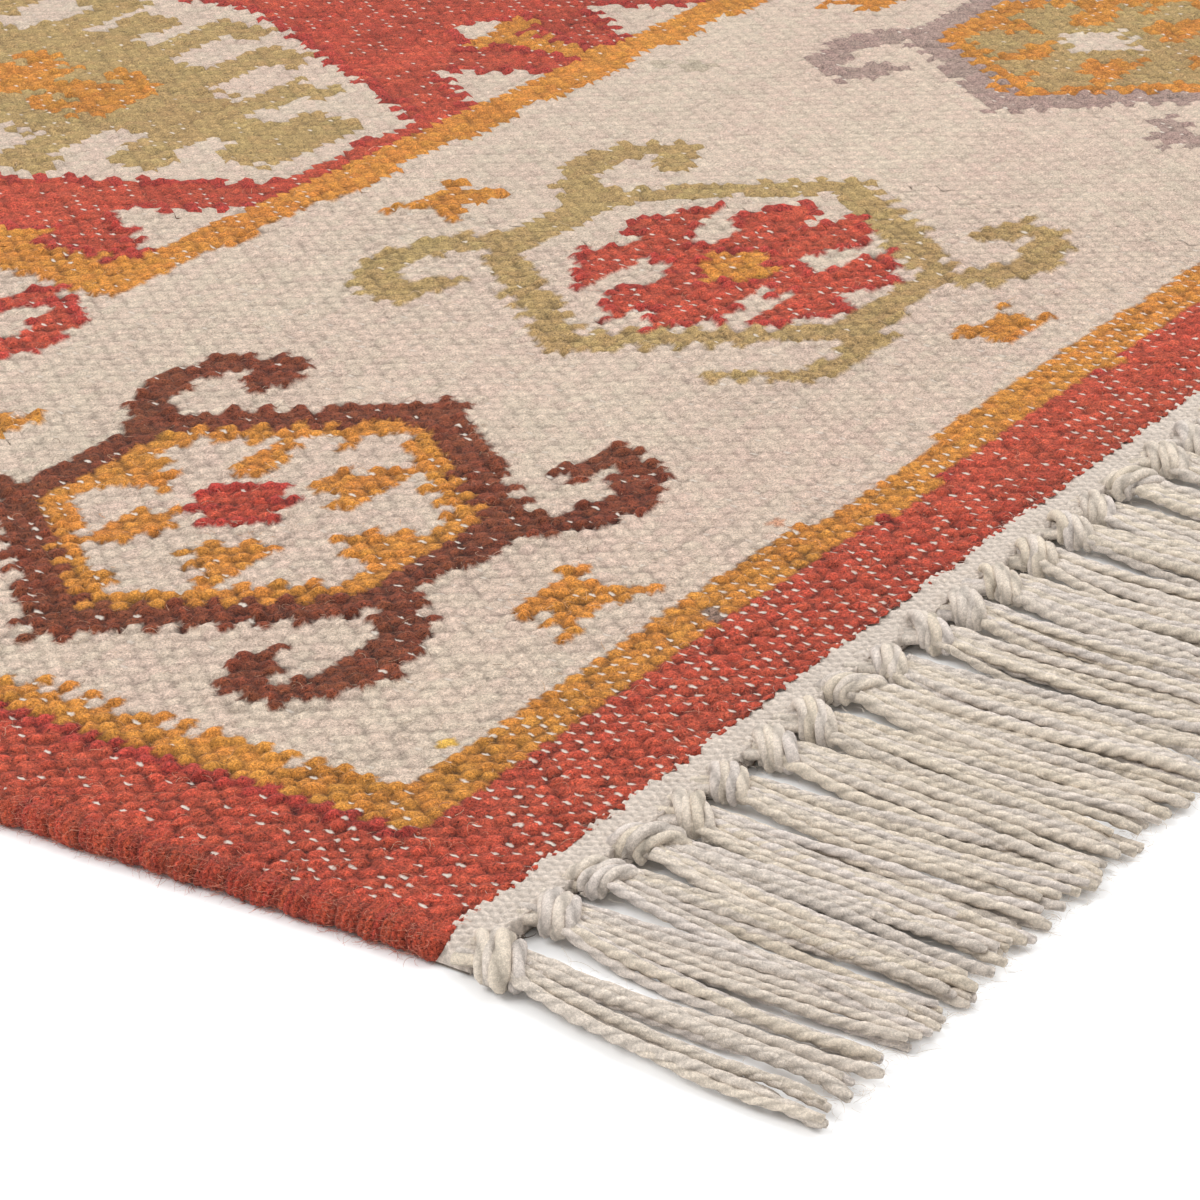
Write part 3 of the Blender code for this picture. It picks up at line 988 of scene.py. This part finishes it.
def hang_cords(end, centres, web_y, fine, name, seed):
    """The loose cords that fan out of each knot over the floor."""
    rng = np.random.default_rng(seed)
    cords, rings, sides = (10, 52, 7) if fine else (7, 10, 4)
    count = len(centres) * cords
    shape = (len(centres), cords, 1)
    # The last ring but one stands close to the tip, so the cord ends bluntly.
    t = np.linspace(0, 1, rings)
    t[-2] = 0.996
    blunt = np.interp(t, (0.970, 0.996, 1), (1, 0.80, 0.15))
    ease = t * t * (3 - 2 * t)
    spread = np.linspace(-1, 1, cords)[None, :, None] + rng.uniform(-0.30, 0.30, shape)
    fan = FAN_AT_KNOT + (FAN_AT_TIP - FAN_AT_KNOT) * (1 - (1 - t) ** 2.0)
    sway = rng.uniform(-0.0040, 0.0040, (len(centres), 1, 1)) + rng.uniform(-0.0050, 0.0050, shape)
    outward = np.where(at_corner(centres), np.sign(centres) * 0.0070, 0)
    x = centres[:, None, None] + spread * fan + sway * t**1.8 + outward[:, None, None] * t
    for turns, depth in ((3.4, 0.0027), (8.5, 0.0011)):
        wave = rng.uniform(0.3, 1.0, shape) * depth
        wave = wave * np.sin(t * turns * rng.uniform(0.7, 1.3, shape) + rng.uniform(0, 6.3, shape))
        x = x + wave * ease
    length = FRINGE_LENGTH - CORDS_START + rng.uniform(-0.0075, 0.0015, shape)
    y = web_y[:, None, None] + end * (CORDS_START + length * t)
    floor_height = 0.0015 + 0.0034 * rng.uniform(0, 1, shape)
    z = floor_height + (0.0058 - floor_height) * np.exp(-((t / 0.16) ** 1.5))
    z = z + 0.0008 * np.sin(t * rng.uniform(5, 13, shape) + rng.uniform(0, 6.3, shape)) * ease
    paths = strand_paths(x, y, z).reshape(count, rings, 3)
    thick = sizes().cord / 2 * rng.uniform(0.74, 1.10, (count, 1))
    start, shift = rng.uniform(0, 6.3, (2, count, 1))
    radii = thick * (1 + 0.10 * np.sin(t * 37 + shift)) * blunt
    loose = rng.uniform(0.75, 1.2, (count, 1))
    turns = start + loose * 2 * np.pi * t * FRINGE_LENGTH / PLY_TURN
    add_strands(name, end, paths, radii, turns, (0, 0, 1), sides, rng, 0.08, 0.0002)


def knot_fringes():
    groups = (
        (-1, slice(0, SHOWN_TASSELS), True, "a", 80),
        (-1, slice(SHOWN_TASSELS, None), False, "b", 81),
        (1, slice(None), False, "a", 90),
    )
    for end, part, fine, letter, seed in groups:
        x, y = (values[part] for values in tassel_centres(end))
        label = f"{END_NAMES[end]}_{letter}"
        tie_knots(end, x, y, fine, f"knots_{label}", seed)
        gather_warps(end, x, y, fine, f"bundles_{label}", seed + 3)
        hang_cords(end, x, y, fine, f"cords_{label}", seed + 6)


# ---- loose hairs
def strew_hairs(name, roots, lengths, rise, colours, node, seed, thick=1.0):
    """Thin curled ribbons that stand from the yarns."""
    rng = np.random.default_rng(seed)
    count, rings = len(roots), 6
    t = np.linspace(0, 1, rings)
    heading = rng.uniform(0, 2 * np.pi, (count, 1))
    angle = heading + rng.uniform(-4.0, 4.0, (count, 1)) * t
    step = lengths[:, None] / (rings - 1)
    x = roots[:, :1] + np.cumsum(np.cos(angle) * step, axis=1)
    y = roots[:, 1:2] + np.cumsum(np.sin(angle) * step, axis=1)
    lift = rise * lengths * rng.uniform(0.2, 1.0, count)
    z = roots[:, 2:] + lift[:, None] * np.sin(np.pi * np.minimum(t * 1.15, 1)) * 0.9
    centre = np.stack([x, y, np.maximum(z, 0.0003)], -1)
    along = np.gradient(centre, axis=1)
    along /= np.linalg.norm(along, axis=-1, keepdims=True) + 1e-12
    across = np.cross(along, rng.normal(0, 1, (count, 1, 3)))
    across /= np.linalg.norm(across, axis=-1, keepdims=True) + 1e-12
    width = thick * sizes().hair * (1 - 0.6 * t)[None, :, None] * rng.uniform(0.6, 1.2, (count, 1, 1))
    points = np.stack([centre - across * width / 2, centre + across * width / 2], 2).reshape(-1, 3)
    faces = repeated_faces(sheet_faces(rings, 2), count, rings * 2)
    layers = {
        "depth": ("POINT", np.ones(len(points))),
        "dye": ("POINT", np.repeat(colours, rings * 2, axis=0)),
    }
    add_piece(name, points, faces, cotton_material(), node, layers)


def blend(colour, other, share):
    return colour * (1 - share) + np.array(other) * share


def strew_ground_hairs(rng, beads):
    """Hairs on the ground, where the camera comes close."""
    count = 4200
    x = rng.uniform(-GROUND_HALF_WIDTH, 0.10, count * 6)
    y = rng.uniform(-GROUND_HALF_LENGTH, -0.20, count * 6)
    near = rng.uniform(0, 1, len(x)) < np.clip((1.55 - closeness(x, y)) / 0.6, 0, 1) * 0.8
    x, y = x[near][:count], y[near][:count]
    i = np.clip(((x + GROUND_HALF_WIDTH) / WARP_PITCH).astype(int), 0, WARPS)
    j = np.clip(((y + GROUND_HALF_LENGTH) / ROW_PITCH).astype(int), 0, ROWS)
    roots = flat_points(*settle(x, y), np.full(len(x), GROUND_BASE + 0.0010))
    pale = rng.uniform(0.1, 0.75, (len(x), 1))
    colours = blend(beads["colour"][i, j], (0.62, 0.46, 0.32), pale)
    brown = rng.uniform(0, 1, (len(x), 1)) < 0.07
    colours = np.where(brown, np.array([0.16, 0.09, 0.05]), colours)
    lengths = rng.uniform(0.002, 0.007, len(x))
    strew_hairs("hairs_ground", roots, lengths, 0.22, colours, "woven_ground", 92)


def strew_binding_hairs(rng):
    """Hairs round the near part of the left binding."""
    count = 2200
    y = -RUG_LENGTH / 2 + WEB_DEPTH + rng.uniform(0, 0.20, count)
    bend = rng.uniform(-0.4, 3.1, count)
    round_part = np.clip(bend, 0, 3.1)
    radius = BINDING_TOP / 2
    x = -(RUG_WIDTH / 2 - radius) - radius * np.sin(round_part) * 0.98
    x = np.where(bend < 0, x + rng.uniform(0, 0.010, count), x)
    roots = flat_points(*settle(x, y), radius + radius * np.cos(round_part))
    pale = rng.uniform(0.0, 0.55, (count, 1))
    colours = blend(dye("binding"), (0.70, 0.40, 0.27), pale)
    lengths = rng.uniform(0.002, 0.0055, count)
    strew_hairs("hairs_binding", roots, lengths, 0.16, colours, "side_binding_left", 93)


def strew_fringe_hairs(rng):
    """Hairs on the near web, knots and cords. Half of them fray the cords' tips."""
    count = 2200
    x = rng.uniform(-RUG_WIDTH / 2, -RUG_WIDTH / 2 + 0.42, count)
    out = rng.uniform(0, 1, count) ** 1.6 * (FRINGE_LENGTH + WEB_DEPTH)
    y = -RUG_LENGTH / 2 + WEB_DEPTH - out
    tips = np.arange(count) % 2 == 0
    y = np.where(tips, -RUG_LENGTH / 2 - FRINGE_LENGTH + rng.uniform(-0.001, 0.009, count), y)
    height = np.where(y > -RUG_LENGTH / 2, WEB_TOP, np.where(tips, 0.0022, 0.0048))
    colours = dye("cord") * rng.uniform(0.8, 1.1, (count, 1))
    lengths = rng.uniform(0.003, 0.009, count)
    roots = flat_points(*settle(x, y), height)
    strew_hairs("hairs_fringe", roots, lengths, 0.15, colours, "fringe_near", 94)


def strew_gap_wisps_and_shadow(rng):
    """Dark wisps in the gaps between the near knots: partly real dark hairs, partly a painted shadow
    that darkens the gaps.
    """
    centres, web_y = tassel_centres(-1)
    each = 16
    gaps = (centres[:SHOWN_TASSELS] + centres[1 : SHOWN_TASSELS + 1]) / 2
    x = np.repeat(gaps, each) + rng.uniform(-0.0022, 0.0030, len(gaps) * each)
    y = np.repeat(web_y[:SHOWN_TASSELS], each) + rng.uniform(-0.0032, -0.0002, len(x))
    roots = flat_points(x, y, rng.uniform(0.0012, 0.0042, len(x)))
    # Near black and extra wide, so that they also paint the shadow in the gaps.
    colours = np.array([0.050, 0.034, 0.024]) * rng.uniform(0.6, 1.8, (len(x), 1))
    lengths = rng.uniform(0.0025, 0.0055, len(x))
    strew_hairs("gap_hairs_and_painted_shadow", roots, lengths, 0.20, colours, "fringe_near", 95, 2.4)


def strew_all_hairs(beads):
    rng = np.random.default_rng(91)
    strew_ground_hairs(rng, beads)
    strew_binding_hairs(rng)
    strew_fringe_hairs(rng)
    strew_gap_wisps_and_shadow(rng)


# ---- materials
def add_node(tree, kind, sockets=(), **settings):
    """A new node. sockets gives for some inputs a value, or the output that feeds them."""
    node = tree.nodes.new(kind)
    for name, value in settings.items():
        setattr(node, name, value)
    for key, value in dict(sockets).items():
        if isinstance(value, bpy.types.NodeSocket):
            tree.links.new(value, node.inputs[key])
        else:
            node.inputs[key].default_value = value
    return node


def calculate(tree, operation, *values):
    return add_node(tree, "ShaderNodeMath", enumerate(values), operation=operation).outputs[0]


def noise(tree, place, scale, detail, distortion=0.0):
    sockets = {"Vector": place, "Scale": scale, "Detail": detail, "Distortion": distortion}
    return add_node(tree, "ShaderNodeTexNoise", sockets).outputs[0]


def remap(tree, value, low, high, kind="SMOOTHSTEP"):
    """0 at low and under it, 1 at high and over it."""
    sockets = {"Value": value, "From Min": low, "From Max": high}
    return add_node(tree, "ShaderNodeMapRange", sockets, interpolation_type=kind).outputs[0]


def new_group(name, inputs, outputs):
    """A shader node group with named sockets, its inputs and its output node."""
    group = bpy.data.node_groups.new(name, "ShaderNodeTree")
    for label, kind, default in inputs:
        socket = group.interface.new_socket(label, in_out="INPUT", socket_type=kind)
        if default is not None:
            socket.default_value = default
    for label, kind in outputs:
        group.interface.new_socket(label, in_out="OUTPUT", socket_type=kind)
    given = group.nodes.new("NodeGroupInput").outputs
    return group, given, group.nodes.new("NodeGroupOutput")


FIBRE_SCALE = 1250.0


def fibre_lines(group, place, scale, offset):
    """Thin bright lines that wander through the yarn."""
    shift = (offset, offset * 0.7, offset * 1.9)
    moved = add_node(group, "ShaderNodeVectorMath", {0: place, 1: shift}, operation="ADD")
    tone = noise(group, moved.outputs[0], scale, 0.0, 1.4)
    away = calculate(group, "ABSOLUTE", calculate(group, "SUBTRACT", tone, 0.5))
    return remap(group, away, 0.10, 0.0)


def fibre_group():
    """Fine fibres that streak the yarn's colour and roughen its surface, and painted shade in its
    hollows.
    """
    if "Yarn fibres" in bpy.data.node_groups:
        return bpy.data.node_groups["Yarn fibres"]
    inputs = (
        ("Dye", "NodeSocketColor", (0.5, 0.5, 0.5, 1.0)),
        ("Depth", "NodeSocketFloat", 1.0),
        ("Scale", "NodeSocketFloat", FIBRE_SCALE),
        ("Streak", "NodeSocketFloat", 0.25),
        ("Shade", "NodeSocketFloat", 0.5),
    )
    outputs = (("Colour", "NodeSocketColor"), ("Height", "NodeSocketFloat"))
    group, given, end = new_group("Yarn fibres", inputs, outputs)
    place = group.nodes.new("ShaderNodeNewGeometry").outputs["Position"]
    wisps = [fibre_lines(group, place, given["Scale"], offset) for offset in (0.0, 3.1)]
    wisps = calculate(group, "MAXIMUM", *wisps)
    clumps = noise(group, place, given["Scale"], 3.0)
    both = calculate(group, "MULTIPLY_ADD", wisps, 0.45, clumps)
    # Pale yarns show their fibres less than dark ones.
    grey = add_node(group, "ShaderNodeRGBToBW", {0: given["Dye"]}).outputs[0]
    paler = calculate(group, "MULTIPLY_ADD", grey, -1.7, 1.55)
    amount = calculate(group, "MULTIPLY", paler, given["Streak"])
    swing = calculate(group, "MULTIPLY", calculate(group, "SUBTRACT", both, 0.68), amount)
    bright = calculate(group, "MULTIPLY_ADD", swing, 2.0, 1.0)
    # Painted shade: the colour is darkened where Depth marks a hollow, as far as Shade says.
    hollow = calculate(group, "SUBTRACT", 1.0, given["Depth"])
    shade = calculate(group, "SUBTRACT", 1.0, calculate(group, "MULTIPLY", hollow, given["Shade"]))
    value = calculate(group, "MULTIPLY", bright, shade)
    sockets = {0: given["Dye"], "Scale": value}
    tinted = add_node(group, "ShaderNodeVectorMath", sockets, operation="SCALE")
    group.links.new(tinted.outputs[0], end.inputs["Colour"])
    group.links.new(both, end.inputs["Height"])
    return group


def fleck_group():
    """White marks where a warp shows between four wefts."""
    if "Warp flecks" in bpy.data.node_groups:
        return bpy.data.node_groups["Warp flecks"]
    inputs = (
        ("Weave", "NodeSocketVector", None),
        ("Width", "NodeSocketFloat", 0.19),
        ("Length", "NodeSocketFloat", 0.32),
    )
    group, given, end = new_group("Warp flecks", inputs, [("Mask", "NodeSocketFloat")])
    x, y, shows = add_node(group, "ShaderNodeSeparateXYZ", {0: given["Weave"]}).outputs
    # From the nearest crossing, along both diagonals of the lattice.
    offsets = []
    for operation in ("ADD", "SUBTRACT"):
        diagonal = calculate(group, "MULTIPLY", calculate(group, operation, x, y), 0.5)
        offsets.append(calculate(group, "SUBTRACT", calculate(group, "FRACT", diagonal), 0.5))
    across = calculate(group, "DIVIDE", calculate(group, "ADD", *offsets), given["Width"])
    along = calculate(group, "DIVIDE", calculate(group, "SUBTRACT", *offsets), given["Length"])
    away = calculate(group, "MULTIPLY", along, along)
    away = calculate(group, "ADD", calculate(group, "MULTIPLY", across, across), away)
    rough = calculate(group, "MULTIPLY", noise(group, given["Weave"], 4.1, 1.0), 1.3)
    mark = remap(group, calculate(group, "ADD", away, rough), 2.1, 0.6)
    there = remap(group, shows, 0.25, 0.60, "LINEAR")
    group.links.new(calculate(group, "MULTIPLY", mark, there), end.inputs["Mask"])
    return group


def attribute(tree, name, output):
    return add_node(tree, "ShaderNodeAttribute", attribute_name=name).outputs[output]


def yarn_material(name, colour, streak, shade, bump, sheen):
    """A matt yarn whose colour and painted shade in the hollows come from the mesh."""
    if name in bpy.data.materials:
        return bpy.data.materials[name]
    material = bpy.data.materials.new(name)
    material.use_nodes = True
    material.diffuse_color = (*colour, 1)
    tree = material.node_tree
    shader = tree.nodes["Principled BSDF"]
    shader.inputs["Roughness"].default_value = 0.92
    shader.inputs["Specular IOR Level"].default_value = 0.12
    shader.inputs["Sheen Weight"].default_value = sheen
    shader.inputs["Sheen Roughness"].default_value = 0.6
    sockets = {
        "Dye": attribute(tree, "dye", "Vector"),
        "Depth": attribute(tree, "depth", "Fac"),
        "Scale": FIBRE_SCALE,
        "Streak": streak,
        "Shade": shade,
    }
    fibres = add_node(tree, "ShaderNodeGroup", sockets, node_tree=fibre_group())
    sockets = {"Strength": 1.0, "Distance": bump, "Height": fibres.outputs["Height"]}
    rough = add_node(tree, "ShaderNodeBump", sockets)
    tree.links.new(rough.outputs["Normal"], shader.inputs["Normal"])
    tree.links.new(fibres.outputs["Colour"], shader.inputs["Base Color"])
    return material


def wool_material():
    """The ground's yarn, with its white flecks of warp."""
    if "Woven wool" in bpy.data.materials:
        return bpy.data.materials["Woven wool"]
    material = yarn_material("Woven wool", dye("red"), 0.86, 0.80, 0.00020, 0.06)
    tree = material.node_tree
    base = tree.nodes["Principled BSDF"].inputs["Base Color"]
    weave = {"Weave": attribute(tree, "weave", "Vector")}
    flecks = add_node(tree, "ShaderNodeGroup", weave, node_tree=fleck_group())
    factor, first, second = 0, 6, 7
    sockets = {
        factor: flecks.outputs["Mask"],
        first: base.links[0].from_socket,
        second: (*dye("warp"), 1.0),
    }
    mixed = add_node(tree, "ShaderNodeMix", sockets, data_type="RGBA")
    tree.links.new(mixed.outputs[2], base)
    return material


def binding_material():
    return yarn_material("Binding wool", dye("binding"), 0.86, 0.84, 0.00020, 0.06)


def cotton_material():
    return yarn_material("Soft cotton", dye("cord"), 0.62, 0.60, 0.00016, 0.08)


# ---- the stage
FLOOR_HALF = 6
LIGHT_TARGET = (-0.3, -0.6, 0)


def set_stage():
    """A plain pale floor and world, two soft lights and the camera."""
    white = bpy.data.materials.new("Studio white")
    white.use_nodes = True
    shader = white.node_tree.nodes["Principled BSDF"]
    shader.inputs["Base Color"].default_value = (0.93, 0.93, 0.93, 1)
    shader.inputs["Roughness"].default_value = 0.9
    mesh = bpy.data.meshes.new("floor")
    corners = [(x * FLOOR_HALF, y * FLOOR_HALF, 0) for x, y in ((-1, -1), (1, -1), (1, 1), (-1, 1))]
    mesh.from_pydata(corners, [], [(0, 1, 2, 3)])
    mesh.materials.append(white)
    floor = bpy.data.objects.new("floor", mesh)
    bpy.context.scene.collection.objects.link(floor)
    world = bpy.data.worlds.new("studio")
    world.use_nodes = True
    background = world.node_tree.nodes["Background"]
    background.inputs["Color"].default_value = (1.0, 1.0, 1.0, 1)
    background.inputs["Strength"].default_value = 0.80
    bpy.context.scene.world = world
    add_light("key", (-1.7, 0.5, 2.2), 1.6, 44.0)
    add_light("fill", (1.1, -1.5, 2.2), 2.4, 44.0)
    add_camera()
    bpy.context.scene.view_settings.view_transform = "Standard"


def add_light(name, place, size, power):
    light = bpy.data.lights.new(name, "AREA")
    light.energy = power
    light.size = size
    lamp = bpy.data.objects.new(name, light)
    lamp.location = place
    lamp.rotation_euler = (Vector(LIGHT_TARGET) - lamp.location).to_track_quat("-Z", "Y").to_euler()
    bpy.context.scene.collection.objects.link(lamp)


def add_camera():
    lens = bpy.data.cameras.new("camera")
    lens.lens = CAMERA_LENS
    lens.sensor_width = SENSOR_WIDTH
    lens.clip_start = 0.02
    camera = bpy.data.objects.new("camera", lens)
    camera.location = camera_place()
    camera.rotation_euler = camera_turn()
    bpy.context.scene.collection.objects.link(camera)
    bpy.context.scene.camera = camera


# ---- operators and panel
class KILIM_OT_ground(bpy.types.Operator):
    """Weave the wool ground, its underside and its loose hairs"""

    bl_idname = "kilim.ground"
    bl_label = "Weave ground"

    def execute(self, context):
        chart, beads = weave_ground()
        weave_back(chart, beads)
        strew_all_hairs(beads)
        return {"FINISHED"}


class KILIM_OT_webs(bpy.types.Operator):
    """Weave the cotton webs at both ends"""

    bl_idname = "kilim.webs"
    bl_label = "Weave webs"

    def execute(self, context):
        weave_web(-1)
        weave_web(1)
        return {"FINISHED"}


class KILIM_OT_bindings(bpy.types.Operator):
    """Wrap the side bindings"""

    bl_idname = "kilim.bindings"
    bl_label = "Wrap bindings"

    def execute(self, context):
        bind_sides()
        return {"FINISHED"}


class KILIM_OT_fringes(bpy.types.Operator):
    """Knot the fringes at both ends"""

    bl_idname = "kilim.fringes"
    bl_label = "Knot fringes"

    def execute(self, context):
        knot_fringes()
        return {"FINISHED"}


class KILIM_OT_stage(bpy.types.Operator):
    """Set up the floor, the light and the camera"""

    bl_idname = "kilim.stage"
    bl_label = "Set stage"

    def execute(self, context):
        set_stage()
        return {"FINISHED"}


class KILIM_PT_panel(bpy.types.Panel):
    bl_label = "Kilim rug"
    bl_idname = "KILIM_PT_panel"
    bl_space_type = "VIEW_3D"
    bl_region_type = "UI"
    bl_category = "Kilim rug"

    def draw(self, context):
        for group in (context.scene.kilim_sizes, context.scene.kilim_colours):
            for name in group.__annotations__:
                self.layout.prop(group, name)
        for operator in OPERATORS:
            self.layout.operator(operator.bl_idname)


OPERATORS = (
    KILIM_OT_ground,
    KILIM_OT_webs,
    KILIM_OT_bindings,
    KILIM_OT_fringes,
    KILIM_OT_stage,
)
CLASSES = (KilimColours, KilimSizes, *OPERATORS, KILIM_PT_panel)


def register():
    for made in CLASSES:
        bpy.utils.register_class(made)
    bpy.types.Scene.kilim_colours = bpy.props.PointerProperty(type=KilimColours)
    bpy.types.Scene.kilim_sizes = bpy.props.PointerProperty(type=KilimSizes)


def unregister():
    del bpy.types.Scene.kilim_sizes
    del bpy.types.Scene.kilim_colours
    for made in reversed(CLASSES):
        bpy.utils.unregister_class(made)


def main():
    register()
    bpy.ops.kilim.ground()
    bpy.ops.kilim.webs()
    bpy.ops.kilim.bindings()
    bpy.ops.kilim.fringes()
    bpy.ops.kilim.stage()


if __name__ == "__main__":
    main()
